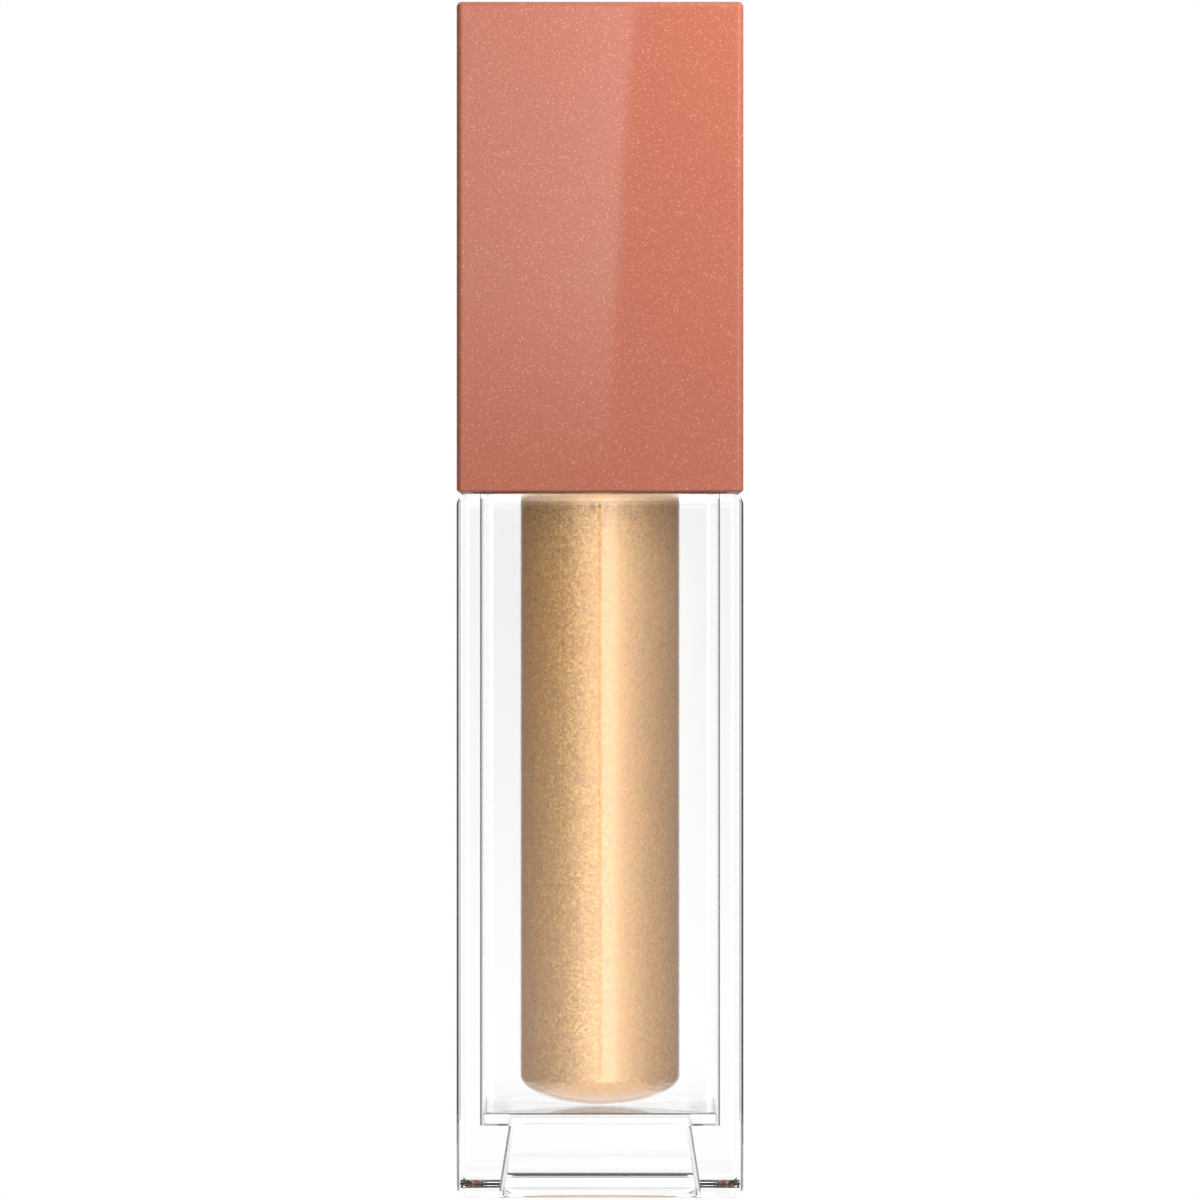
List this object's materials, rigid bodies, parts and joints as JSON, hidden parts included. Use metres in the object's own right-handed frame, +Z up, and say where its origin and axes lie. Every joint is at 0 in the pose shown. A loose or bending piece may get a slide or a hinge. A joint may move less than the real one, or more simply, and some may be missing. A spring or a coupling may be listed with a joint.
{
  "type": "lip gloss tube",
  "caption": "Square clear lip gloss tube with a round inner vial, gold gloss, rose-gold screw cap and a doe-foot applicator wand.",
  "frame": {"origin": "centre of the bounding box at the base, where the bottle stands", "axes": "+Z up along the tube from the base to the cap, +X and +Y square to two neighbouring faces; -Y is the front"},
  "size_m": [0.021, 0.021, 0.0876],
  "materials": {
    "clear_plastic": "polished clear acrylic-like plastic",
    "vial_plastic": "clear moulded plastic",
    "gloss": "thick translucent gold gel with fine shimmer flakes",
    "wiper_plastic": "soft natural white plastic",
    "seal_rubber": "white foam gasket",
    "cap_finish": "satin rose-gold metallic coating with fine sparkles, over plastic",
    "liner_plastic": "plain moulded plastic",
    "wand_plastic": "smooth white plastic",
    "flock": "short dense flock, wet with gloss"
  },
  "bodies": {
    "bottle": {"outer_sleeve": "clear_plastic", "base_plug": "clear_plastic", "inner_vial": "vial_plastic", "gloss_fill": "gloss", "wiper": "wiper_plastic"},
    "seal": {"neck_seal": "seal_rubber"},
    "cap": {"cap_shell": "cap_finish", "inner_cap": "liner_plastic", "wand_stem": "wand_plastic", "applicator_core": "wand_plastic", "applicator_flock": "flock"}
  },
  "joints": [
    {"name": "cap_lift", "type": "slide", "parent": "bottle", "child": "seal", "axis": [0, 0, 1], "range_m": [0, 0.06]},
    {"name": "cap_turn", "type": "hinge", "parent": "seal", "child": "cap", "pos_m": [0, 0, 0.0517], "axis": [0, 0, 1], "range_deg": [0, 648]}
  ]
}
